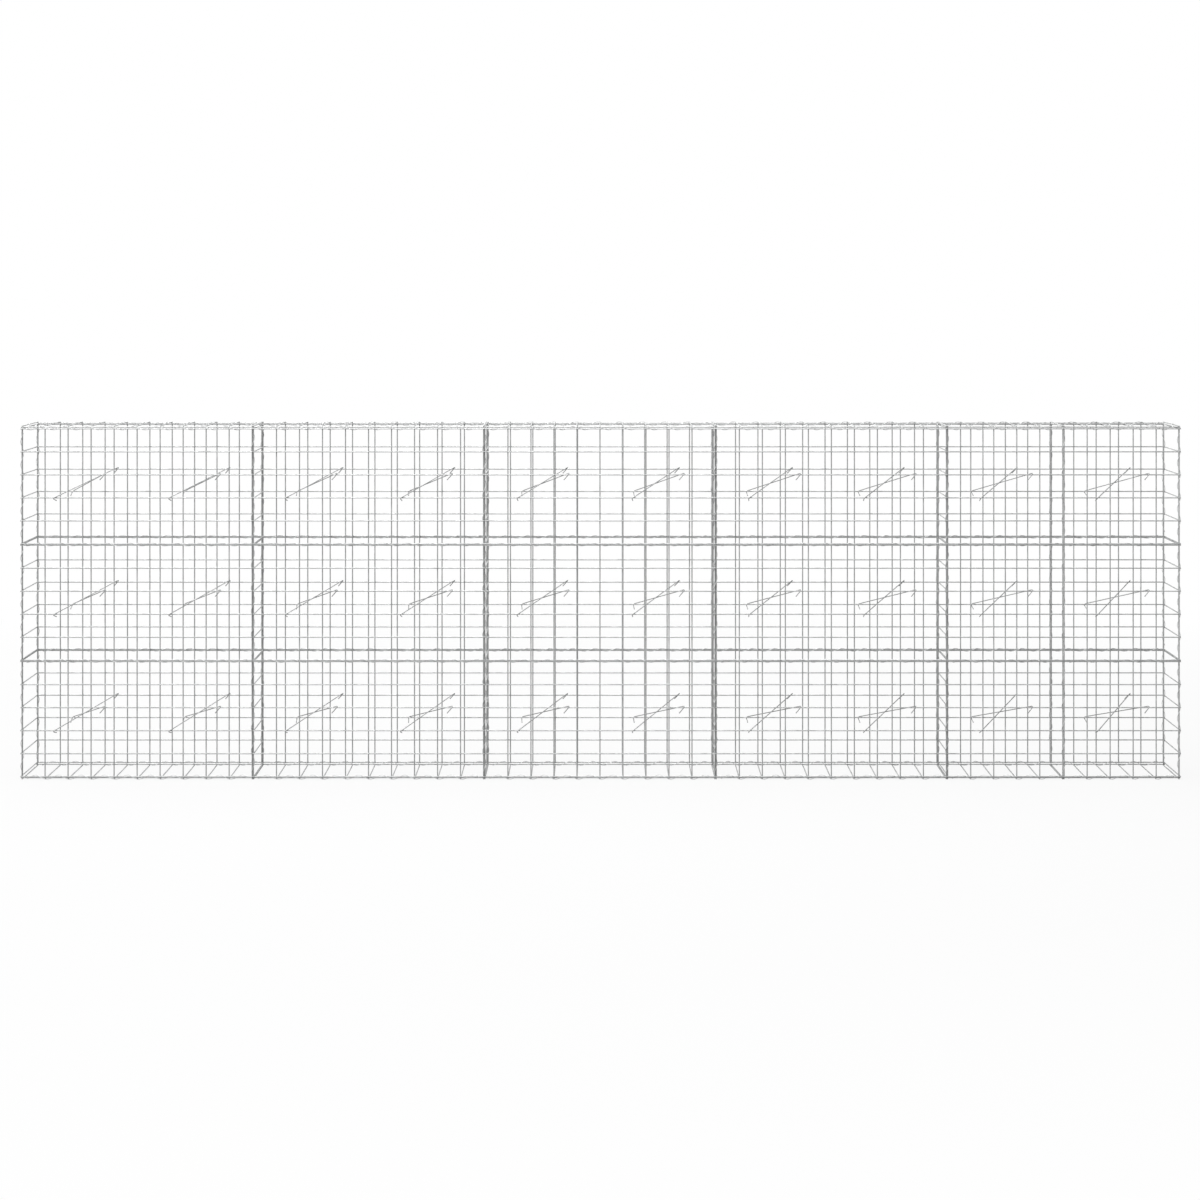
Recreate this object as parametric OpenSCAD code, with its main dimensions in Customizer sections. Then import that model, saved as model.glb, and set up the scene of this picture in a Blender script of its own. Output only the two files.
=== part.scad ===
// Gabion wall: empty welded-mesh baskets in three tiers, laced with wire
// spirals along their edges and braced inside by crossed tie wires.
// X runs along the wall, Y from the front face to the back, Z up.

/* [Wall] */
// Pitch of the welded mesh
mesh = 100; // [80:5:120]
// Mesh cells along a full bay
bay_cells = 10; // [5:5:15]
// Mesh cells along a half bay
half_cells = 5; // [5:5:10]
// Number of full bays
full_bays = 4; // [2:1:4]
// Number of half bays at the right end
half_bays = 2; // [1:1:3]
// Mesh cells in the height of a tier
tier_cells = 5; // [4:1:6]
// Number of tiers
tiers = 3; // [2:1:3]
// Depth between the upright wires of the front and back faces
depth = 200; // [160:10:300]

/* [Mesh wire] */
// Wire thickness, flat to flat
wire_d = 5; // [3:0.5:6]
// How far crossing wires sink into each other at a weld
weld_sink = 0.4; // [0.2:0.1:0.6]
// Overhang of a wire past the side of the edge wire it is welded to
trim = 0.1; // [0.1:0.1:0.3]
// Overhang of the long wires at the two ends of the wall
end_trim = 3.5; // [0.5:0.5:6]
// Gap between the edge wires of panels that meet at a corner or bay joint
panel_gap = 0.8; // [0.8:0.1:2]
// Gap between the edge wires of two tiers
tier_gap = 0.6; // [0.6:0.1:2]
// Height gap between the edge wires of a face and of a floor or cover
lid_gap = 1.5; // [1:0.5:5]
// How far the edge wires of a floor or cover lie inside the long wires of the faces
lid_inset = 8; // [6:0.5:9]

/* [Spirals] */
// Thickness of the spiral wire
spiral_d = 2.5; // [2:0.5:4]
// Room between a spiral and the edge wires it laces
spiral_gap = 0.3; // [0.2:0.1:1]

/* [Ties] */
// Thickness of the tie wire
tie_d = 4; // [3:0.5:5]
// Room between a tie and the wire it hooks, and between crossing ties
tie_gap = 0.4; // [0.3:0.1:1]
// Mesh row that a tie's low end hooks, counted from the tier's bottom wire
tie_row = 2; // [1:1:3]
// Length of a tie past the wire it hooks, before the bend
tie_past = 5; // [2:1:12]
// Centre-line radius of a tie's bend
tie_bend_r = 6; // [5:0.5:10]
// Angle through which a tie's end is bent back
tie_bend = 125; // [95:5:140]
// Straight length of a tie's leg after the bend
tie_leg = 30; // [15:5:50]

/* [Hidden] */
// Hexagonal wire: the corner radius for the given thickness
wire_r = wire_d / 2 / cos(30);
wire_sides = 6;
// Distance between the two layers of wires in a welded panel
layer = wire_d - weld_sink;
overhang = wire_d / 2 + trim;
end_overhang = wire_d / 2 + end_trim;
side_step = wire_d + panel_gap;
tier_step = wire_d + tier_gap;
lid_step = wire_d + lid_gap;

// Cells and first upright wire of each bay, the wall centred on X = 0
bay_list = concat([for (b = [1:full_bays]) bay_cells], [for (b = [1:half_bays]) half_cells]);
bays = len(bay_list);
function heading(a) = [cos(a), sin(a), 0];
function hundredths(v) = [for (c = v) round(100 * c) / 100];
function sum_to(list, n) = n == 0 ? 0 : list[n - 1] + sum_to(list, n - 1);
wall_l = sum_to(bay_list, bays) * mesh + (bays - 1) * side_step;
function bay_l(b) = bay_list[b] * mesh;
function bay_x(b) = -wall_l / 2 + sum_to(bay_list, b) * mesh + b * side_step;
function joint_x(b) = bay_x(b) - side_step / 2;

// Heights: floor wires, bottom and top wire of the faces, edge wires of the cover
tier_h = tier_cells * mesh;
floor_z = wire_d / 2;
face_z = floor_z + layer + lid_step;
top_z = face_z + tiers * tier_h + (tiers - 1) * tier_step;
cover_z = top_z + lid_step + layer;
function tier_z(t) = face_z + t * (tier_h + tier_step);

// Depths: uprights and long wires of the front face, uprights of a cross panel
face_y = -depth / 2;
rail_y = face_y - layer;
lid_y = rail_y + lid_inset;
cross_y = face_y + side_step;
cross_w = -2 * cross_y;

// Spirals turn once in each mesh cell, as square turns of three-sided wire
turn_steps = 4;
spiral_sides = 3;
// Length cut off each end of a spiral to leave it square
spiral_cut = 0.5;
spiral_room = spiral_gap + spiral_d / 2;
function spiral_r(reach) = (reach + spiral_room) / cos(180 / turn_steps);
pair_reach = side_step / 2 + wire_r;
// Each turn's corners stand over the face's edge wire and under the floor's
lid_reach = max(lid_step, lid_inset) / 2 + wire_r;
// Between tiers the corners of each turn stand over and under the two wires
tier_reach = tier_step / 2 * cos(180 / turn_steps) + wire_r;
// Three edge wires at a partition lie on a circle round this point
trio_y = (side_step * side_step - side_step * side_step / 4) / (2 * side_step);
trio_reach = side_step - trio_y + wire_r;
// Height of the cover's cross wires over the top wires of the panels below
crest_h = lid_step + layer;
crest_reach = crest_h / 2 + wire_r;

// Ties: one crossed pair in every five cells, two cells long and one row high
pair_cells = 5;
tie_run = 2 * mesh;
tie_rise = mesh;
tie_fall = -2 * rail_y;
tie_span = norm([tie_run, tie_fall, tie_rise]);
tie_half = round(tie_span / 2 + tie_past);
tie_lift = wire_r + tie_d / 2 + tie_gap;
tie_shift = (tie_d + tie_gap) * norm([tie_run, tie_rise]) / tie_rise;
tie_lean = [-1, 2, -2];
// The leg is a hair thinner than the bend and starts just inside it
leg_d = tie_d - 0.02;
leg_root = 0.2;
tie_fn = 24;

wire_colour = [0.62, 0.64, 0.64];
spiral_colour = [0.7, 0.72, 0.71];
tie_colour = [0.56, 0.58, 0.58];

// A wire from the origin along X or along Y, with a flat or an edge up and down
module wire_x(l, flat) {
    rotate([0, 90, 0]) rotate(flat ? 90 : 0) cylinder(r = wire_r, h = l, $fn = wire_sides);
}
module wire_y(l, flat) {
    rotate([-90, 0, 0]) rotate(flat ? 0 : 90) cylinder(r = wire_r, h = l, $fn = wire_sides);
}

// Flat welded panel: cross wires along Y at xs, and rows along X at ys welded
// on top of them, which run past the outer cross wires by left and right
module welded_panel(xs, ys, left = overhang, right = overhang, flat = false) {
    last_x = xs[len(xs) - 1];
    last_y = ys[len(ys) - 1];
    for (x = xs)
        translate([x, -overhang, 0]) wire_y(last_y + 2 * overhang, flat);
    for (y = ys)
        translate([-left, y, layer]) wire_x(last_x + left + right, flat);
}

function mesh_steps(cells) = [for (i = [0:cells]) i * mesh];
function left_run(b) = b == 0 ? end_overhang : overhang;
function right_run(b) = b == bays - 1 ? end_overhang : overhang;

// Front face of one bay: a panel in each tier, long wires outside
module front_panel(b) {
    color(wire_colour)
        for (t = [0:tiers - 1])
            translate([bay_x(b), face_y, tier_z(t)])
                rotate([90, 0, 0])
                    welded_panel(mesh_steps(bay_list[b]), mesh_steps(tier_cells), left_run(b), right_run(b));
}

module back_panel(b) {
    mirror([0, 1, 0]) front_panel(b);
}

// Panel across the depth of the wall, long wires on its +X side
module cross_panel(x) {
    color(wire_colour)
        for (t = [0:tiers - 1])
            translate([x, cross_y, tier_z(t)])
                rotate([90, 0, 90])
                    welded_panel([0, cross_w], mesh_steps(tier_cells));
}

module right_end_panel() {
    cross_panel(bay_x(bays - 1) + bay_l(bays - 1));
}

module left_end_panel() {
    mirror([1, 0, 0]) right_end_panel();
}

module partition(p) {
    cross_panel(joint_x(p));
}

// Floor of one bay: cross wires on the ground, edge wires welded on top
module floor_panel(b, flat = true) {
    color(wire_colour)
        translate([bay_x(b), lid_y, floor_z])
            welded_panel(mesh_steps(bay_list[b]), [0, -2 * lid_y], left_run(b), right_run(b), flat);
}

// Cover of one bay: a floor panel turned over
module cover_panel(b) {
    translate([0, 0, cover_z + floor_z]) mirror([0, 0, 1]) floor_panel(b, false);
}

// Spiral along Z round a bundle of edge wires. Its angle is phase at each mesh
// wire that it passes, and it ends a quarter turn short of the outer two. Each
// turn is a square of slanted three-sided bars, with level corners kept to
// hundredths so that the sides of the bars are flat.
module spiral(turns, reach, phase, pitch = mesh) {
    r = spiral_r(reach);
    turn = 360 / turn_steps;
    step = pitch / turn_steps;
    rings = turns * turn_steps - 1;
    section = [for (k = [0:spiral_sides - 1]) hundredths(spiral_d / 2 * heading(k * 360 / spiral_sides))];
    corners = [
        for (i = [0:rings - 1], k = [0:spiral_sides - 1])
            hundredths(r * heading(phase + (i + 1) * turn) + [0, 0, (i + 1) * step]) + section[k]
    ];
    last = (rings - 1) * spiral_sides;
    walls = [
        for (i = [0:rings - 2], k = [0:spiral_sides - 1])
            let (a = i * spiral_sides + k, b = i * spiral_sides + (k + 1) % spiral_sides)
            each [[a, a + spiral_sides, b], [b, a + spiral_sides, b + spiral_sides]]
    ];
    caps = [[for (k = [0:spiral_sides - 1]) k], [for (k = [spiral_sides - 1:-1:0]) last + k]];
    intersection() {
        polyhedron(corners, concat(walls, caps), convexity = 4);
        translate([-2 * r, -2 * r, step + spiral_cut])
            cube([4 * r, 4 * r, turns * pitch - 2 * (step + spiral_cut)]);
    }
}

// Spiral along X, with its angle measured from +Y towards +Z
module spiral_x(turns, reach, phase) {
    rotate([0, 90, 0]) rotate(90) spiral(turns, reach, phase);
}

// Upright spirals of the front: two corners, and every bay joint. Each crosses
// the mesh rows on the side where no wire is in its way.
left_phase = 45;
right_phase = -25;
joint_phase = 150;
module front_upright_spirals() {
    color(spiral_colour)
        for (t = [0:tiers - 1]) {
            for (b = [1:bays - 1])
                translate([joint_x(b), face_y + (b > full_bays ? 0 : trio_y), tier_z(t)])
                    spiral(tier_cells, b > full_bays ? pair_reach : trio_reach, joint_phase);
            translate([bay_x(0), face_y + side_step / 2, tier_z(t)])
                spiral(tier_cells, pair_reach, left_phase);
            translate([-bay_x(0), face_y + side_step / 2, tier_z(t)])
                spiral(tier_cells, pair_reach, right_phase);
        }
}

module back_upright_spirals() {
    mirror([0, 1, 0]) front_upright_spirals();
}

// A spiral in each bay along one long edge of the front
module edge_spirals(y, z, reach, phase) {
    color(spiral_colour)
        for (b = [0:bays - 1])
            translate([bay_x(b), y, z])
                spiral_x(bay_list[b], reach, phase);
}

// Between two tiers the spiral passes in front of the uprights
front_phase = 180;
module front_tier_spirals() {
    for (t = [1:tiers - 1])
        edge_spirals(rail_y, tier_z(t) - tier_step / 2, tier_reach, front_phase);
}

module back_tier_spirals() {
    mirror([0, 1, 0]) front_tier_spirals();
}

// Along the base and the cover it passes the cross wires on the outer corner
module front_base_spirals() {
    edge_spirals((rail_y + lid_y) / 2, face_z - lid_step / 2, lid_reach, front_phase + 45);
}

module back_base_spirals() {
    mirror([0, 1, 0]) front_base_spirals();
}

module front_cover_spirals() {
    edge_spirals((rail_y + lid_y) / 2, top_z + lid_step / 2, lid_reach, front_phase - 45);
}

module back_cover_spirals() {
    mirror([0, 1, 0]) front_cover_spirals();
}

crest_phase = 45;
// Across the depth a spiral laces each end and partition to the cover above
// it, and one laces two half covers where no partition stands
module depth_spiral(x, z, reach) {
    turns = max(1, round(depth / mesh));
    color(spiral_colour)
        translate([x, depth / 2, z])
            rotate([90, 0, 0]) spiral(turns, reach, crest_phase, depth / turns);
}

module end_cover_spirals() {
    crest_z = top_z + crest_h / 2;
    for (side = [0, 1])
        mirror([side, 0, 0]) depth_spiral(wall_l / 2 + layer / 2, crest_z, crest_reach);
    for (p = [1:full_bays])
        depth_spiral(joint_x(p) + (layer - side_step / 2) / 2, crest_z, crest_reach);
    for (b = [full_bays + 1:1:bays - 1])
        depth_spiral(joint_x(b), cover_z, pair_reach);
}

// One tie in its own plane, along X about its middle, both legs towards +Y
module tie_shape() {
    translate([-tie_half, 0, 0]) rotate([0, 90, 0]) cylinder(d = tie_d, h = 2 * tie_half, $fn = tie_fn);
    for (turn = [0, 180])
        rotate([0, turn, 0])
            translate([tie_half, tie_bend_r, 0]) {
                rotate(-90)
                    rotate_extrude(angle = tie_bend, $fn = tie_fn)
                        translate([tie_bend_r, 0]) circle(d = tie_d, $fn = tie_fn);
                rotate(tie_bend)
                    translate([-leg_root, -tie_bend_r, 0])
                        rotate([0, 90, 0]) cylinder(d = leg_d, h = leg_root + tie_leg, $fn = tie_fn);
            }
}

// A tie from its low end at the front to its high end at the back, resting on
// the two wires that it hooks, with its legs leaning outwards and down
module tie_wire() {
    along = [tie_run, tie_fall, tie_rise] / tie_span;
    lean = tie_lean - (tie_lean * along) * along;
    down = lean / norm(lean);
    side = cross(along, down);
    lift = cross([1, 0, 0], along);
    at = tie_lift * lift / norm(lift);
    multmatrix([
        [along.x, down.x, side.x, at.x],
        [along.y, down.y, side.y, at.y],
        [along.z, down.z, side.z, at.z],
        [0, 0, 0, 1]
    ]) tie_shape();
}

// Crossed pairs of one tier, side by side where they pass each other
module tie_wires(t) {
    color(tie_colour)
        for (b = [0:bays - 1], k = [0:floor(bay_list[b] / pair_cells) - 1])
            translate([bay_x(b) + (k + 0.5) * pair_cells * mesh, 0, tier_z(t) + (tie_row + 0.5) * mesh]) {
                tie_wire();
                translate([tie_shift, 0, 0]) mirror([0, 1, 0]) tie_wire();
            }
}

for (b = [0:bays - 1]) {
    front_panel(b);
    back_panel(b);
    floor_panel(b);
    cover_panel(b);
}
left_end_panel();
right_end_panel();
for (p = [1:full_bays])
    partition(p);
front_upright_spirals();
back_upright_spirals();
front_tier_spirals();
back_tier_spirals();
front_base_spirals();
back_base_spirals();
front_cover_spirals();
back_cover_spirals();
end_cover_spirals();
for (t = [0:tiers - 1])
    tie_wires(t);
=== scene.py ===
"""Gabion wall: round galvanised wire, lacing spirals and hooked ties over the wall's frame."""

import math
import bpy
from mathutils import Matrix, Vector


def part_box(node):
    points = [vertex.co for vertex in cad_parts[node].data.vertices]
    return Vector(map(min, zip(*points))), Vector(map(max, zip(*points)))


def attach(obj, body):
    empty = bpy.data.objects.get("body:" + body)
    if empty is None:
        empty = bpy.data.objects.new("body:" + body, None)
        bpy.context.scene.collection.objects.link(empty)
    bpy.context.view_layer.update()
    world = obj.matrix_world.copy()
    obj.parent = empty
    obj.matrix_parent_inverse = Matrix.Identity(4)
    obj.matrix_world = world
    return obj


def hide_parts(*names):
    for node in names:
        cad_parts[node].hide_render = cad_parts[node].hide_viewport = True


bl_info = {
    "name": "Gabion wall",
    "version": (1, 0, 0),
    "blender": (4, 5, 0),
    "location": "3D View > Sidebar > Gabion",
    "description": "Dresses the frame of an empty gabion wall with round galvanised wire",
    "category": "Object",
}

import bpy
import numpy as np
from bpy.props import FloatProperty, FloatVectorProperty, IntProperty, PointerProperty

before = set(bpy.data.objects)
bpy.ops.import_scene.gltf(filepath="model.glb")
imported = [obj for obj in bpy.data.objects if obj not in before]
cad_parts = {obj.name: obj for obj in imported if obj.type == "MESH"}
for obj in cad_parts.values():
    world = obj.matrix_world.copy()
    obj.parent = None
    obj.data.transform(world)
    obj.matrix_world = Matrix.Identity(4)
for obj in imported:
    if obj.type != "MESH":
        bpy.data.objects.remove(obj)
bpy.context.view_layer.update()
MM = 0.001
BODY = "root"
X_AXIS, Y_AXIS, Z_AXIS = np.eye(3)


def linear(hex_colour):
    """Linear RGB of an sRGB hex colour: c / 12.92 up to 0.04045, else ((c + 0.055) / 1.055) ^ 2.4."""
    parts = np.array([int(hex_colour[i:i + 2], 16) for i in (1, 3, 5)]) / 255
    return tuple(np.where(parts <= 0.04045, parts / 12.92, ((parts + 0.055) / 1.055) ** 2.4))


def length(name, description, millimetres):
    """A length property with its default given in millimetres."""
    return FloatProperty(name=name, description=description, default=millimetres * MM, unit="LENGTH")


def angle(name, description, degrees):
    """An angle property with its default given in degrees."""
    return FloatProperty(name=name, description=description, default=math.radians(degrees), unit="ROTATION")


def colour(name, description, hex_colour):
    """A colour property with its default given as an sRGB hex value."""
    return FloatVectorProperty(name=name, description=description, default=linear(hex_colour),
                               subtype="COLOR", size=3, min=0, max=1)


def position(name, description, millimetres):
    """A position property with its default given in millimetres."""
    metres = tuple(value * MM for value in millimetres)
    return FloatVectorProperty(name=name, description=description, default=metres,
                               subtype="TRANSLATION", unit="LENGTH", size=3)


def amount(name, description, value):
    """A plain number property."""
    return FloatProperty(name=name, description=description, default=value)


def count(name, description, whole):
    """A whole-number property."""
    return IntProperty(name=name, description=description, default=whole, min=1)


class GabionMesh(bpy.types.PropertyGroup):
    """Welded mesh of the panels."""
    pitch: length("Pitch", "Distance between neighbouring wires of the mesh", 100)
    wire: length("Wire", "Thickness of the mesh wire", 5)
    weld_sink: length("Weld sink", "How far crossing wires sink into each other at a weld", 0.4)
    overhang: length("Overhang", "Length of a wire past the middle of the edge wire it is welded to", 2.6)
    bead: length("Weld bead", "Radius of the bead of metal squeezed out at a weld", 2.2)
    bead_h: length("Bead height", "Half the thickness of a weld bead", 1.2)
    tier_cells: count("Tier cells", "Mesh cells in the height of a tier", 5)
    tiers: count("Tiers", "Number of tiers", 3)
    sides: count("Sides", "Sides of a wire's round section", 12)


class GabionSpirals(bpy.types.PropertyGroup):
    """Spirals that lace the panels together."""
    wire: length("Wire", "Thickness of the spiral wire", 2)
    room: length("Room", "Room between a spiral and the edge wires that it laces", 0.1)
    end_gap: length("End gap", "Length by which a spiral stops short of the outer mesh wires", 20)
    left: angle("Left angle", "Angle of the left corner's spiral where it passes a mesh row", 45)
    right: angle("Right angle", "Angle of the right corner's spiral where it passes a mesh row", -25)
    joint: angle("Joint angle", "Angle of a bay joint's spiral where it passes a mesh row", 150)
    tier: angle("Tier angle", "Angle of a tier joint's spiral where it passes an upright", 180)
    base: angle("Base angle", "Angle of a bottom edge's spiral where it passes a floor wire", 225)
    cover: angle("Cover angle", "Angle of a top edge's spiral where it passes a cover wire", 135)
    crest: angle("Crest angle", "Angle at the back end of a spiral across the depth", 45)
    turn_rings: count("Turn rings", "Rings of points in one turn", 20)
    sides: count("Sides", "Sides of a wire's round section", 10)


class GabionTies(bpy.types.PropertyGroup):
    """Hooked ties that hold the two faces together."""
    wire: length("Wire", "Thickness of the tie wire", 4)
    hook_room: length("Hook room", "Room between a tie and the wire that it hooks", 0.7)
    pass_room: length("Pass room", "Room between two ties where they cross", 0.4)
    row: count("Row", "Mesh row that a tie's low end hooks, from the tier's bottom wire", 2)
    past: length("Past", "Length of a tie past the wire that it hooks, before the bend", 5)
    bend_r: length("Bend radius", "Centre-line radius of the bend", 6)
    bend: angle("Bend", "Angle through which the end is bent back", 125)
    leg: length("Leg", "Straight length of the leg after the bend", 30)
    run_cells: count("Run cells", "Mesh cells along the wall that a tie spans", 2)
    pair_cells: count("Pair cells", "Mesh cells along the wall for each crossed pair", 5)
    bend_rings: count("Bend rings", "Rings of points in one bend", 10)
    sides: count("Sides", "Sides of a wire's round section", 12)


class GabionFinish(bpy.types.PropertyGroup):
    """Zinc finishes of the three wires."""
    mesh_bright: colour("Bright mesh", "Fresh zinc of the mesh wire", "#A9AAAA")
    mesh_dull: colour("Dull mesh", "Dull patches on the mesh wire", "#919292")
    spiral_bright: colour("Bright spiral", "Fresh zinc of the spiral wire", "#CBCCCC")
    spiral_dull: colour("Dull spiral", "Dull patches on the spiral wire", "#B5B6B6")
    tie_bright: colour("Bright tie", "Fresh zinc of the tie wire", "#939494")
    tie_dull: colour("Dull tie", "Dull patches on the tie wire", "#7B7C7C")


class GabionStage(bpy.types.PropertyGroup):
    """Floor, light and camera."""
    floor: colour("Floor", "Plain pale floor", "#ABABAB")
    floor_size: length("Floor size", "Side of the square floor", 80000)
    distance: length("Camera distance", "Distance of the camera from the uprights of the front face", 7067)
    height: length("Camera height", "Height of the level camera over the ground", 2193)
    focal_px: amount("Focal length", "Focal length in pixels of the frame", 1626)
    horizon_px: amount("Horizon", "Pixel row of the horizon", 274.9)
    axis_px: amount("Axis", "Pixel column of the wall's middle", 600.6)
    frame_px: amount("Frame", "Pixels along a side of the square frame", 1200)
    overhead_at: position("Overhead place", "Middle of the soft box over the wall", (-1500, -400, 8500))
    overhead_size: length("Overhead size", "Side of the square soft box over the wall", 8000)
    overhead_watts: amount("Overhead power", "Power in watts of the soft box over the wall", 1900)
    side_at: position("Side place", "Middle of the soft box at the left", (-24000, -8000, 6000))
    side_size: length("Side size", "Side of the square soft box at the left", 8000)
    side_watts: amount("Side power", "Power in watts of the soft box at the left", 2400)


SETTINGS = {
    "gabion_mesh": GabionMesh,
    "gabion_spirals": GabionSpirals,
    "gabion_ties": GabionTies,
    "gabion_finish": GabionFinish,
    "gabion_stage": GabionStage,
}


class Bay:
    """One bay of the wall: its number from the left, its cells, and its first and last upright along X."""

    def __init__(self, number, cells, first, pitch):
        self.number = number
        self.cells = cells
        self.uprights = first + pitch * np.arange(cells + 1)
        self.first = first
        self.last = first + pitch * cells


class Wall:
    """Places of the wall's wires, worked out from the boxes of its frame.

    A face panel is two layers of wire, half a layer step each side of its middle: the rows outside and the
    uprights inside. Rows run past the edge uprights by the overhang, except at the wall's two ends, so each
    bay is measured from a side that isn't an end.
    """

    def __init__(self, mesh):
        self.layer = mesh.wire - mesh.weld_sink
        names = sorted(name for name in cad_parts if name.startswith("front_panel_"))
        boxes = [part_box(name) for name in names]
        self.bays = []
        for number, (low, high) in enumerate(boxes, start=1):
            cells = round((high.x - low.x) / mesh.pitch)
            first = low.x + mesh.overhang
            if number == 1:
                first = high.x - mesh.overhang - cells * mesh.pitch
            self.bays.append(Bay(number, cells, first, mesh.pitch))
        low, high = boxes[0]
        middle = (low.y + high.y) / 2
        self.row_y = middle - self.layer / 2
        self.upright_y = middle + self.layer / 2
        self.bottom_z = low.z + mesh.overhang
        self.top_z = high.z - mesh.overhang
        self.tier_h = mesh.tier_cells * mesh.pitch
        tier_pitch = (self.top_z - self.bottom_z - self.tier_h) / (mesh.tiers - 1)
        self.tier_z = self.bottom_z + tier_pitch * np.arange(mesh.tiers)
        self.rows_z = (self.tier_z[:, None] + mesh.pitch * np.arange(mesh.tier_cells + 1)).ravel()
        self.tier_step = tier_pitch - self.tier_h
        self.side_step = self.bays[1].first - self.bays[0].last
        self.partitions = sorted(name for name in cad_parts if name.startswith("partition_"))
        joints = np.array([(left.last + right.first) / 2 for left, right in zip(self.bays, self.bays[1:])])
        self.walled_joints = joints[:len(self.partitions)]
        self.open_joints = joints[len(self.partitions):]
        self.cross_y = self.upright_y + self.side_step
        self.floor_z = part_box("floor_panel_1")[0].z + mesh.wire / 2
        self.lid_step = self.bottom_z - self.floor_z - self.layer
        self.cover_z = self.top_z + self.lid_step + self.layer
        self.lid_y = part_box("cover_panel_1")[0].y + mesh.overhang


def join(*shells):
    """One shell from several: points stacked, and each shell's faces shifted by the points before it."""
    point_groups, quad_groups, cap_groups = zip(*shells)
    starts = np.cumsum([0] + [len(points) for points in point_groups[:-1]])
    quads = np.concatenate([group + start for group, start in zip(quad_groups, starts)])
    caps = [cap + start for group, start in zip(cap_groups, starts) for cap in group]
    return np.concatenate(point_groups), quads, caps


def mirrored(shell, axis):
    """The shell mirrored in the plane through the origin that is square to an axis.

    Mirroring turns faces inside out, so the corners of each are put in reverse order.
    """
    points, quads, caps = shell
    return points * (1 - 2 * axis), quads[:, ::-1], [cap[:, ::-1] for cap in caps]


def swept(centres, side, up, radii, sides):
    """Round sections carried along paths.

    centres has a row of points for each path. Point k of a ring is centre + radius (cos a side + sin a up),
    with a = 2 pi k / sides, and side x up is the direction of the path. Both ends are closed.
    """
    paths, rings = centres.shape[:2]
    a = 2 * math.pi * np.arange(sides) / sides
    spokes = np.cos(a)[:, None] * side[..., None, :] + np.sin(a)[:, None] * up[..., None, :]
    points = centres[:, :, None, :] + radii[:, None, None] * spokes
    index = np.arange(paths * rings * sides).reshape(paths, rings, sides)
    after = np.roll(index, -1, axis=2)
    quads = np.stack([index[:, :-1], after[:, :-1], after[:, 1:], index[:, 1:]], axis=-1).reshape(-1, 4)
    return points.reshape(-1, 3), quads, [np.concatenate([index[:, 0, ::-1], index[:, -1]])]


def cut_end(thickness):
    """Stations and radii at a cropped wire end.

    The end is chamfered by a tenth of the wire, and one more ring behind it keeps the side straight.
    """
    chamfer = thickness / 10
    radius = thickness / 2
    return np.array([0, chamfer, 3 * chamfer]), np.array([radius - chamfer, radius, radius])


def rods(starts, ends, thickness, sides):
    """Straight round wires: centre(s) = start + s run, with s from 0 to the length, and cropped ends."""
    starts, ends = np.asarray(starts), np.asarray(ends)
    lengths = np.linalg.norm(ends - starts, axis=1, keepdims=True)
    run = (ends - starts) / lengths
    steep = 0.9
    side = np.cross(np.where(np.abs(run[:, 2:]) > steep, X_AXIS, Z_AXIS), run)
    side /= np.linalg.norm(side, axis=1, keepdims=True)
    up = np.cross(run, side)
    near, radii = cut_end(thickness)
    first_rings = np.broadcast_to(near, (len(starts), len(near)))
    stations = np.concatenate([first_rings, lengths - near[::-1]], axis=1)
    centres = starts[:, None] + stations[..., None] * run[:, None]
    return swept(centres, side[:, None], up[:, None], np.concatenate([radii, radii[::-1]]), sides)


def points_at(*coordinates):
    """All combinations of lists of X, Y and Z coordinates, as rows of points."""
    lists = [np.atleast_1d(values) for values in coordinates]
    return np.stack(np.meshgrid(*lists, indexing="ij"), axis=-1).reshape(-1, 3)


def beads(centres, normal, mesh):
    """Weld beads: three rings round the panel's normal, a full one between two smaller ones."""
    sides, small_ring, small_ring_out = 8, 0.6, 0.7
    side = np.roll(normal, 1)
    up = np.cross(normal, side)
    heights = mesh.bead_h * small_ring_out * np.array([-1, 0, 1])
    radii = mesh.bead * np.array([small_ring, 1, small_ring])
    rings = centres[:, None] + heights[:, None] * normal
    return swept(rings, side[None, None], up[None, None], radii, sides)


def helices(origins, axes, radius, span, pitch, phase, spirals):
    """Spiral wires: centre(h) = origin + r (cos a e1 + sin a e2) + h e3, with a = phase + 2 pi h / pitch.

    The section's side is the spoke cos a e1 + sin a e2, which is square to the path everywhere.
    """
    e1, e2, e3 = axes
    near, radii = cut_end(spirals.wire)
    start, stop = span
    steps = max(2, round((stop - start) / pitch * spirals.turn_rings))
    inner = np.linspace(start + near[2], stop - near[2], steps)
    h = np.concatenate([start + near[:2], inner, stop - near[1::-1]])
    a = phase + 2 * math.pi * h / pitch
    spoke = np.cos(a)[:, None] * e1 + np.sin(a)[:, None] * e2
    run = 2 * math.pi * radius / pitch * (np.cos(a)[:, None] * e2 - np.sin(a)[:, None] * e1) + e3
    run /= np.linalg.norm(run, axis=1, keepdims=True)
    centres = np.asarray(origins)[:, None] + radius * spoke + h[:, None] * e3
    thickness = np.concatenate([radii[:2], np.full(steps, radii[2]), radii[1::-1]])
    return swept(centres, spoke[None], np.cross(run, spoke)[None], thickness, spirals.sides)


def add_node(tree, kind, inputs=None, **attributes):
    """Adds a node, sets its attributes, and links or fills its input sockets."""
    node = tree.nodes.new(kind)
    for key, value in attributes.items():
        setattr(node, key, value)
    for key, value in (inputs or {}).items():
        if isinstance(value, bpy.types.NodeSocket):
            tree.links.new(value, node.inputs[key])
        else:
            node.inputs[key].default_value = value
    return node


def opaque(rgb):
    """The colour with an alpha of 1."""
    return (*rgb, 1)


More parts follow.
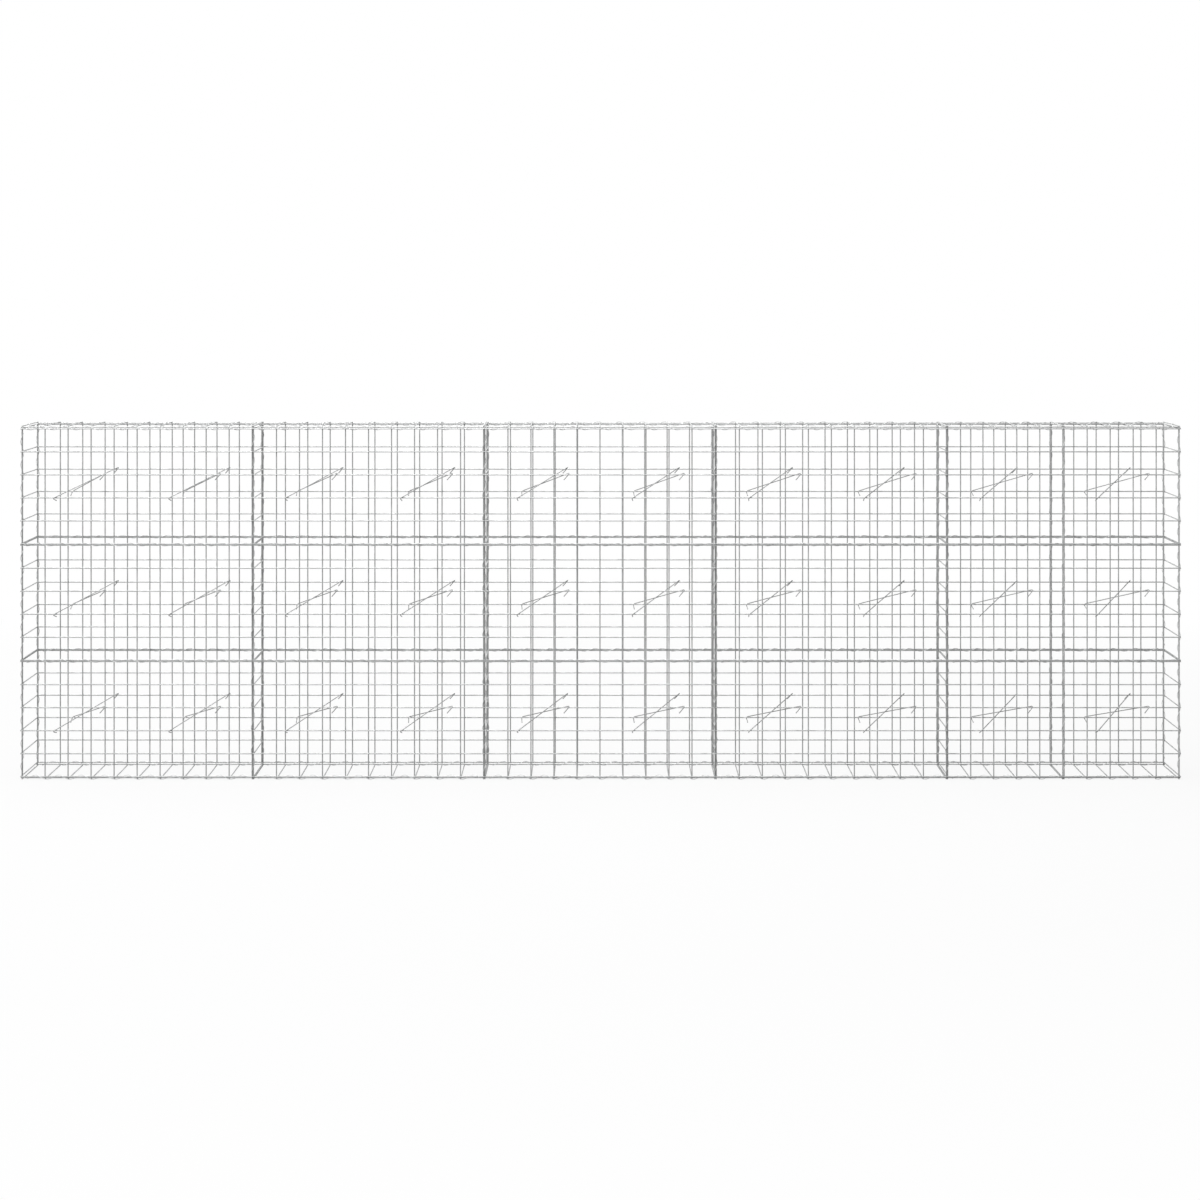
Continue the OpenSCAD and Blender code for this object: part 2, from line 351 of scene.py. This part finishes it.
def galvanised_wire(name, bright, dull):
    """Galvanised drawn wire, made by pulling steel wire through a bath of zinc.

    The eye sees a soft grey metal, mottled in dull patches about 30 mm long, with fine runs of zinc about
    2 mm across that break up its highlights. The runs are drawn coarser than on real wire, so that they
    show. A dull film covers most of the zinc, so only a share of it shines as bare metal.
    """
    patch_mm, run_mm, run_h_mm = 30, 2.2, 0.05
    # Noise levels at which a patch is wholly dull or bright, and a run is a hollow or a crest
    all_dull, all_bright = 0.32, 0.68
    hollow, crest = 0.3, 0.7
    smoothest, roughest = 0.36, 0.54
    metal_share = 0.35
    material = bpy.data.materials.new(name)
    material.use_nodes = True
    tree = material.node_tree
    shader = tree.nodes["Principled BSDF"]
    place = add_node(tree, "ShaderNodeTexCoord").outputs["Object"]
    patches = add_node(tree, "ShaderNodeTexNoise",
                       {"Vector": place, "Scale": 1 / (patch_mm * MM), "Detail": 3, "Roughness": 0.6})
    runs = add_node(tree, "ShaderNodeTexNoise", {"Vector": place, "Scale": 1 / (run_mm * MM), "Detail": 2})
    mottle = add_node(tree, "ShaderNodeMapRange",
                      {"Value": patches.outputs["Fac"], "From Min": all_dull, "From Max": all_bright})
    ramp = add_node(tree, "ShaderNodeValToRGB", {"Fac": mottle.outputs["Result"]})
    ramp.color_ramp.elements[0].color = opaque(dull)
    ramp.color_ramp.elements[1].color = opaque(bright)
    polish = add_node(tree, "ShaderNodeMapRange",
                      {"Value": runs.outputs["Fac"], "From Min": hollow, "From Max": crest,
                       "To Min": smoothest, "To Max": roughest})
    bump = add_node(tree, "ShaderNodeBump", {"Height": runs.outputs["Fac"], "Distance": run_h_mm * MM})
    shader.inputs["Metallic"].default_value = metal_share
    tree.links.new(ramp.outputs["Color"], shader.inputs["Base Color"])
    tree.links.new(polish.outputs["Result"], shader.inputs["Roughness"])
    tree.links.new(bump.outputs["Normal"], shader.inputs["Normal"])
    return material


def finish_of(slot):
    """The material of a wire: galvanised in the slot's own two tones, made once."""
    name = f"galvanised_{slot}"
    if name in bpy.data.materials:
        return bpy.data.materials[name]
    finish = bpy.context.scene.gabion_finish
    kind = slot.split("_")[0]
    return galvanised_wire(name, getattr(finish, f"{kind}_bright"), getattr(finish, f"{kind}_dull"))


def add_piece(name, shell, slot, node):
    """Puts a shell into a mesh object that rides on the wall and stands for a node of the frame.

    The sides of the wires are shaded smooth and their cut ends flat.
    """
    points, quads, caps = shell
    faces = [quads, *caps]
    totals = np.concatenate([np.full(len(group), group.shape[1]) for group in faces])
    corners = np.concatenate([group.ravel() for group in faces])
    data = bpy.data.meshes.new(name)
    data.vertices.add(len(points))
    data.vertices.foreach_set("co", points.ravel())
    data.loops.add(len(corners))
    data.loops.foreach_set("vertex_index", corners)
    data.polygons.add(len(totals))
    data.polygons.foreach_set("loop_start", np.concatenate([[0], np.cumsum(totals)[:-1]]))
    smooth = np.repeat([True, False], [len(quads), len(totals) - len(quads)])
    data.polygons.foreach_set("use_smooth", smooth)
    data.update(calc_edges=True)
    if data.validate():
        raise RuntimeError(f"{name} has faces that can't be made")
    data.materials.append(finish_of(slot))
    piece = bpy.data.objects.new(name, data)
    bpy.context.scene.collection.objects.link(piece)
    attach(piece, BODY)
    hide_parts(node)


def face_wires(wall, mesh, bay):
    """Front face of a bay: uprights in each tier, rows outside them, and a weld bead at each crossing."""
    low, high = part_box(f"front_panel_{bay.number}")
    feet = points_at(bay.uprights, wall.upright_y, wall.tier_z - mesh.overhang)
    heads = points_at(bay.uprights, wall.upright_y, wall.tier_z + wall.tier_h + mesh.overhang)
    lefts = points_at(low.x, wall.row_y, wall.rows_z)
    rights = points_at(high.x, wall.row_y, wall.rows_z)
    middle = (wall.row_y + wall.upright_y) / 2
    return join(
        rods(feet, heads, mesh.wire, mesh.sides),
        rods(lefts, rights, mesh.wire, mesh.sides),
        beads(points_at(bay.uprights, middle, wall.rows_z), Y_AXIS, mesh),
    )


def cross_wires(wall, mesh, node, rows_side):
    """Panel across the wall: two uprights in each tier, and rows on the side that rows_side points to."""
    low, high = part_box(node)
    middle = (low.x + high.x) / 2
    row_x = middle + rows_side * wall.layer / 2
    upright_x = middle - rows_side * wall.layer / 2
    edges_y = [wall.cross_y, -wall.cross_y]
    feet = points_at(upright_x, edges_y, wall.tier_z - mesh.overhang)
    heads = points_at(upright_x, edges_y, wall.tier_z + wall.tier_h + mesh.overhang)
    fronts = points_at(row_x, low.y, wall.rows_z)
    backs = points_at(row_x, high.y, wall.rows_z)
    return join(
        rods(feet, heads, mesh.wire, mesh.sides),
        rods(fronts, backs, mesh.wire, mesh.sides),
        beads(points_at(middle, edges_y, wall.rows_z), X_AXIS, mesh),
    )


def lid_wires(wall, mesh, bay, node, cross_z, edge_z):
    """Floor or cover of a bay: cross wires at one height, and the two edge wires welded on at another."""
    low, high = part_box(node)
    edges_y = [wall.lid_y, -wall.lid_y]
    fronts = points_at(bay.uprights, low.y, cross_z)
    backs = points_at(bay.uprights, high.y, cross_z)
    lefts = points_at(low.x, edges_y, edge_z)
    rights = points_at(high.x, edges_y, edge_z)
    return join(
        rods(fronts, backs, mesh.wire, mesh.sides),
        rods(lefts, rights, mesh.wire, mesh.sides),
        beads(points_at(bay.uprights, edges_y, (cross_z + edge_z) / 2), Z_AXIS, mesh),
    )


class GABION_OT_face_panels(bpy.types.Operator):
    """Make the welded panels of the front and back faces."""
    bl_idname = "gabion.face_panels"
    bl_label = "Face panels"

    def execute(self, context):
        mesh = context.scene.gabion_mesh
        wall = Wall(mesh)
        for bay in wall.bays:
            front = face_wires(wall, mesh, bay)
            back = mirrored(front, Y_AXIS)
            add_piece(f"front_mesh_{bay.number}", front, "mesh_wire", f"front_panel_{bay.number}")
            add_piece(f"back_mesh_{bay.number}", back, "mesh_wire", f"back_panel_{bay.number}")
        return {"FINISHED"}


class GABION_OT_cross_panels(bpy.types.Operator):
    """Make the welded panels of the two ends and of the partitions."""
    bl_idname = "gabion.cross_panels"
    bl_label = "Ends and partitions"

    def execute(self, context):
        mesh = context.scene.gabion_mesh
        wall = Wall(mesh)
        left, right = -1, 1
        for end, rows_side in (("left_end", left), ("right_end", right)):
            wires = cross_wires(wall, mesh, f"{end}_panel", rows_side)
            add_piece(f"{end}_mesh", wires, "mesh_wire", f"{end}_panel")
        for joint, node in enumerate(wall.partitions, start=1):
            add_piece(f"partition_mesh_{joint}", cross_wires(wall, mesh, node, right), "mesh_wire", node)
        return {"FINISHED"}


class GABION_OT_floors_and_covers(bpy.types.Operator):
    """Make the welded panels of the floors and covers."""
    bl_idname = "gabion.floors_and_covers"
    bl_label = "Floors and covers"

    def execute(self, context):
        mesh = context.scene.gabion_mesh
        wall = Wall(mesh)
        for bay in wall.bays:
            floor, cover = f"floor_panel_{bay.number}", f"cover_panel_{bay.number}"
            floor_wires = lid_wires(wall, mesh, bay, floor, wall.floor_z, wall.floor_z + wall.layer)
            cover_wires = lid_wires(wall, mesh, bay, cover, wall.cover_z, wall.cover_z - wall.layer)
            add_piece(f"floor_mesh_{bay.number}", floor_wires, "mesh_wire", floor)
            add_piece(f"cover_mesh_{bay.number}", cover_wires, "mesh_wire", cover)
        return {"FINISHED"}


def spiral_radius(spirals, mesh, edge_distance):
    """Radius of a spiral's centre line round edge wires whose middles lie edge_distance from its axis."""
    return edge_distance + mesh.wire / 2 + spirals.room + spirals.wire / 2


class GABION_OT_upright_spirals(bpy.types.Operator):
    """Make the upright spirals at the corners and bay joints of both faces."""
    bl_idname = "gabion.upright_spirals"
    bl_label = "Upright spirals"

    def execute(self, context):
        mesh, spirals = context.scene.gabion_mesh, context.scene.gabion_spirals
        wall = Wall(mesh)
        span = (spirals.end_gap, wall.tier_h - spirals.end_gap)
        half_step = wall.side_step / 2
        # Three edge wires meet at a partition: the face's two, a step apart, and one a step behind them.
        # The circle through their middles has its centre c behind the two, where
        # c^2 + (step / 2)^2 = (step - c)^2, so c is 3 / 8 of the step.
        trio_y = wall.side_step * 3 / 8
        pair_r = spiral_radius(spirals, mesh, half_step)
        trio_r = spiral_radius(spirals, mesh, wall.side_step - trio_y)
        kinds = [
            (wall.bays[0].first, half_step, pair_r, spirals.left),
            (wall.bays[-1].last, half_step, pair_r, spirals.right),
            (wall.walled_joints, trio_y, trio_r, spirals.joint),
            (wall.open_joints, 0, pair_r, spirals.joint),
        ]
        axes = (X_AXIS, Y_AXIS, Z_AXIS)
        front = join(*[
            helices(points_at(xs, wall.upright_y + inwards, wall.tier_z), axes, radius, span, mesh.pitch,
                    phase, spirals)
            for xs, inwards, radius, phase in kinds
        ])
        add_piece("front_upright_lacing", front, "spiral_wire", "front_upright_spirals")
        add_piece("back_upright_lacing", mirrored(front, Y_AXIS), "spiral_wire", "back_upright_spirals")
        return {"FINISHED"}


class GABION_OT_edge_spirals(bpy.types.Operator):
    """Make the spirals along the tier joints and along the bottom and top edges of both faces."""
    bl_idname = "gabion.edge_spirals"
    bl_label = "Edge spirals"

    def execute(self, context):
        mesh, spirals = context.scene.gabion_mesh, context.scene.gabion_spirals
        wall = Wall(mesh)
        tier_r = spiral_radius(spirals, mesh, wall.tier_step / 2)
        lid_r = spiral_radius(spirals, mesh, math.hypot(wall.lid_step, wall.lid_y - wall.row_y) / 2)
        lid_y = (wall.row_y + wall.lid_y) / 2
        edges = {
            "tier": (wall.row_y, wall.tier_z[1:] - wall.tier_step / 2, tier_r, spirals.tier),
            "base": (lid_y, wall.bottom_z - wall.lid_step / 2, lid_r, spirals.base),
            "cover": (lid_y, wall.top_z + wall.lid_step / 2, lid_r, spirals.cover),
        }
        axes = (Y_AXIS, Z_AXIS, X_AXIS)
        for edge, (y, heights, radius, phase) in edges.items():
            front = join(*[
                helices(points_at(bay.first, y, heights), axes, radius,
                        (spirals.end_gap, bay.last - bay.first - spirals.end_gap),
                        mesh.pitch, phase, spirals)
                for bay in wall.bays
            ])
            add_piece(f"front_{edge}_lacing", front, "spiral_wire", f"front_{edge}_spirals")
            add_piece(f"back_{edge}_lacing", mirrored(front, Y_AXIS), "spiral_wire", f"back_{edge}_spirals")
        return {"FINISHED"}


class GABION_OT_crest_spirals(bpy.types.Operator):
    """Make the short spirals across the depth, which lace the ends, partitions and covers at the top."""
    bl_idname = "gabion.crest_spirals"
    bl_label = "Crest spirals"

    def execute(self, context):
        mesh, spirals = context.scene.gabion_mesh, context.scene.gabion_spirals
        wall = Wall(mesh)
        depth = -2 * wall.upright_y
        span = (spirals.end_gap, depth - spirals.end_gap)
        crest_h = wall.cover_z - wall.top_z
        crest_z = wall.top_z + crest_h / 2
        axes = (X_AXIS, Z_AXIS, -Y_AXIS)
        end_x = wall.bays[-1].last + wall.layer / 2
        wall_x = wall.walled_joints + (wall.layer - wall.side_step / 2) / 2
        end_r = spiral_radius(spirals, mesh, math.hypot(wall.layer, crest_h) / 2)
        wall_r = spiral_radius(spirals, mesh, math.hypot(wall.layer + wall.side_step / 2, crest_h) / 2)
        pair_r = spiral_radius(spirals, mesh, wall.side_step / 2)
        end, walls, pairs = [
            helices(points_at(xs, depth / 2, z), axes, radius, span, mesh.pitch, spirals.crest, spirals)
            for xs, z, radius in (
                (end_x, crest_z, end_r),
                (wall_x, crest_z, wall_r),
                (wall.open_joints, wall.cover_z, pair_r),
            )
        ]
        lacing = join(end, mirrored(end, X_AXIS), walls, pairs)
        add_piece("end_cover_lacing", lacing, "spiral_wire", "end_cover_spirals")
        return {"FINISHED"}


def tie_shape(ties, half):
    """One tie in its own plane, along X about its middle, with both legs bent towards +Y.

    Right half: straight to x = half, then an arc of radius r about (half, r) from -90 degrees through the
    bend, then the straight leg along the arc's last tangent. The left half is its mirror image.
    """
    near, radii = cut_end(ties.wire)
    turn = np.linspace(0, ties.bend, ties.bend_rings)
    arc = np.stack([half + ties.bend_r * np.sin(turn), ties.bend_r * (1 - np.cos(turn))], axis=1)
    heading = np.array([math.cos(ties.bend), math.sin(ties.bend)])
    leg = arc[-1] + (ties.leg - near[::-1])[:, None] * heading
    right = np.concatenate([arc, leg])
    arc_run = np.stack([np.cos(turn), np.sin(turn)], axis=1)
    right_run = np.concatenate([arc_run, np.tile(heading, (len(near), 1))])
    flip = np.array([-1, 1])
    path = np.concatenate([right[::-1] * flip, right])
    run = np.concatenate([right_run[::-1] * -flip, right_run])
    flat = np.zeros(len(path))
    centres = np.column_stack([path, flat])
    side = np.column_stack([-run[:, 1], run[:, 0], flat])
    middle = np.full(len(path) - 2 * len(near), ties.wire / 2)
    thickness = np.concatenate([radii, middle, radii[::-1]])
    return swept(centres[None], side[None], Z_AXIS[None, None], thickness, ties.sides)


def copies(shell, places):
    """The shell repeated with its origin at each of the places."""
    return join(*[(shell[0] + place, shell[1], shell[2]) for place in places])


class GABION_OT_ties(bpy.types.Operator):
    """Make the crossed pairs of hooked ties in each tier."""
    bl_idname = "gabion.ties"
    bl_label = "Ties"

    def execute(self, context):
        mesh, ties = context.scene.gabion_mesh, context.scene.gabion_ties
        wall = Wall(mesh)
        rise = mesh.pitch
        span = np.array([ties.run_cells * mesh.pitch, -2 * wall.row_y, rise])
        along = span / np.linalg.norm(span)
        # The legs lean outwards and down, square to the tie
        lean = np.array([-1, 2, -2])
        down = lean - (lean @ along) * along
        down /= np.linalg.norm(down)
        lift = np.cross(X_AXIS, along)
        lift *= (mesh.wire / 2 + ties.wire / 2 + ties.hook_room) / np.linalg.norm(lift)
        points, quads, caps = tie_shape(ties, np.linalg.norm(span) / 2 + ties.past)
        rising = points @ np.stack([along, down, np.cross(along, down)]) + lift, quads, caps
        # The second tie of a pair is moved along the wall so that the two pass side by side
        shift = (ties.wire + ties.pass_room) * math.hypot(span[0], rise) / rise
        points, quads, caps = mirrored(rising, Y_AXIS)
        pair = join(rising, (points + shift * X_AXIS, quads, caps))
        pair_l = ties.pair_cells * mesh.pitch
        middles = np.concatenate([
            bay.first + pair_l * (np.arange(bay.cells // ties.pair_cells) + 0.5) for bay in wall.bays
        ])
        for tier, z in enumerate(wall.tier_z, start=1):
            places = points_at(middles, 0, z + (ties.row + 0.5) * mesh.pitch)
            add_piece(f"ties_{tier}", copies(pair, places), "tie_wire", f"tie_wires_{tier}")
        return {"FINISHED"}


def seen_rays(tree):
    """One on rays that show a surface as background: from the camera, in a reflection or through glass."""
    path = add_node(tree, "ShaderNodeLightPath")
    seen = path.outputs["Is Camera Ray"]
    for kind in ("Is Glossy Ray", "Is Transmission Ray"):
        either = add_node(tree, "ShaderNodeMath", {0: seen, 1: path.outputs[kind]}, operation="MAXIMUM")
        seen = either.outputs[0]
    return seen


def pale_floor(tone):
    """Matt painted studio floor.

    Where it is seen it is plain white, apart from a share near the wall that takes light and the wall's
    shadow. The light that it sends back up to the wall has its own pale tone.
    """
    reach_x, reach_y, matt_share, fade = 6, 4, 0.1, 0.5
    material = bpy.data.materials.new("matt_studio_floor")
    material.use_nodes = True
    tree = material.node_tree
    tree.nodes.clear()
    matt = add_node(tree, "ShaderNodeBsdfDiffuse", {"Color": opaque(tone)})
    white = add_node(tree, "ShaderNodeEmission", {"Color": (1, 1, 1, 1), "Strength": 1})
    place = add_node(tree, "ShaderNodeTexCoord").outputs["Object"]
    oval = add_node(tree, "ShaderNodeMapping", {"Vector": place, "Scale": (1 / reach_x, 1 / reach_y, 1)})
    near = add_node(tree, "ShaderNodeTexGradient", {"Vector": oval.outputs["Vector"]},
                    gradient_type="SPHERICAL")
    plain = add_node(tree, "ShaderNodeMapRange", {"Value": near.outputs["Fac"], "From Max": fade,
                                                  "To Min": 1, "To Max": 1 - matt_share})
    share = add_node(tree, "ShaderNodeMath", {0: seen_rays(tree), 1: plain.outputs["Result"]},
                     operation="MULTIPLY")
    mix = add_node(tree, "ShaderNodeMixShader",
                   {0: share.outputs[0], 1: matt.outputs["BSDF"], 2: white.outputs["Emission"]})
    add_node(tree, "ShaderNodeOutputMaterial", {"Surface": mix.outputs["Shader"]})
    return material


def studio_world():
    """White dome: strength 1 where it is seen, and a plain level of light elsewhere."""
    fill = 0.12
    world = bpy.data.worlds.new("studio")
    world.use_nodes = True
    tree = world.node_tree
    tree.nodes.clear()
    strength = add_node(tree, "ShaderNodeMapRange", {"Value": seen_rays(tree), "To Min": fill, "To Max": 1})
    dome = add_node(tree, "ShaderNodeBackground",
                    {"Color": (1, 1, 1, 1), "Strength": strength.outputs["Result"]})
    add_node(tree, "ShaderNodeOutputWorld", {"Surface": dome.outputs["Background"]})
    return world


def soft_box(name, place, aim, size, watts):
    """A square soft box that faces a point: tilted from straight down, then turned about Z."""
    lamp = bpy.data.lights.new(name, "AREA")
    lamp.size = size
    lamp.energy = watts
    box = bpy.data.objects.new(name, lamp)
    place, aim = np.array(place), np.array(aim)
    run = aim - place
    box.location = place
    tilt = math.atan2(math.hypot(run[0], run[1]), -run[2])
    turn = math.atan2(run[1], run[0]) - math.pi / 2
    box.rotation_euler = (tilt, 0, turn)
    bpy.context.scene.collection.objects.link(box)


class GABION_OT_stage(bpy.types.Operator):
    """Make the floor, the light and the camera."""
    bl_idname = "gabion.stage"
    bl_label = "Stage"

    def execute(self, context):
        scene, stage = context.scene, context.scene.gabion_stage
        wall = Wall(scene.gabion_mesh)
        half = stage.floor_size / 2
        data = bpy.data.meshes.new("studio_floor")
        corners = [(-half, -half, 0), (half, -half, 0), (half, half, 0), (-half, half, 0)]
        data.from_pydata(corners, [], [(0, 1, 2, 3)])
        data.materials.append(pale_floor(stage.floor))
        floor = bpy.data.objects.new("studio_floor", data)
        scene.collection.objects.link(floor)
        scene.world = studio_world()
        centre = (0, 0, wall.top_z / 2)
        soft_box("overhead_light", stage.overhead_at, centre, stage.overhead_size, stage.overhead_watts)
        soft_box("side_light", stage.side_at, centre, stage.side_size, stage.side_watts)
        lens = bpy.data.cameras.new("camera")
        lens.lens = lens.sensor_width * stage.focal_px / stage.frame_px
        lens.shift_x = (stage.frame_px / 2 - stage.axis_px) / stage.frame_px
        lens.shift_y = (stage.horizon_px - stage.frame_px / 2) / stage.frame_px
        camera = bpy.data.objects.new("camera", lens)
        camera.location = (0, wall.upright_y - stage.distance, stage.height)
        camera.rotation_euler = (math.pi / 2, 0, 0)
        scene.collection.objects.link(camera)
        scene.camera = camera
        scene.view_settings.view_transform = "Standard"
        return {"FINISHED"}


OPERATORS = (
    GABION_OT_face_panels,
    GABION_OT_cross_panels,
    GABION_OT_floors_and_covers,
    GABION_OT_upright_spirals,
    GABION_OT_edge_spirals,
    GABION_OT_crest_spirals,
    GABION_OT_ties,
    GABION_OT_stage,
)


class GABION_PT_sidebar(bpy.types.Panel):
    """Lists the steps that dress the wall, and its settings."""
    bl_idname = "GABION_PT_sidebar"
    bl_label = "Gabion wall"
    bl_space_type = "VIEW_3D"
    bl_region_type = "UI"
    bl_category = "Gabion"

    def draw(self, context):
        for operator in OPERATORS:
            self.layout.operator(operator.bl_idname)
        for setting, group in SETTINGS.items():
            box = self.layout.box()
            box.label(text=group.__doc__)
            for name in group.__annotations__:
                box.prop(getattr(context.scene, setting), name)


def register():
    for cls in (*SETTINGS.values(), *OPERATORS, GABION_PT_sidebar):
        bpy.utils.register_class(cls)
    for setting, group in SETTINGS.items():
        setattr(bpy.types.Scene, setting, PointerProperty(type=group))


def unregister():
    for setting in SETTINGS:
        delattr(bpy.types.Scene, setting)
    for cls in reversed((*SETTINGS.values(), *OPERATORS, GABION_PT_sidebar)):
        bpy.utils.unregister_class(cls)


def main():
    """Dresses the wall and sets the stage."""
    register()
    bpy.ops.gabion.face_panels()
    bpy.ops.gabion.cross_panels()
    bpy.ops.gabion.floors_and_covers()
    bpy.ops.gabion.upright_spirals()
    bpy.ops.gabion.edge_spirals()
    bpy.ops.gabion.crest_spirals()
    bpy.ops.gabion.ties()
    bpy.ops.gabion.stage()


if __name__ == "__main__":
    main()
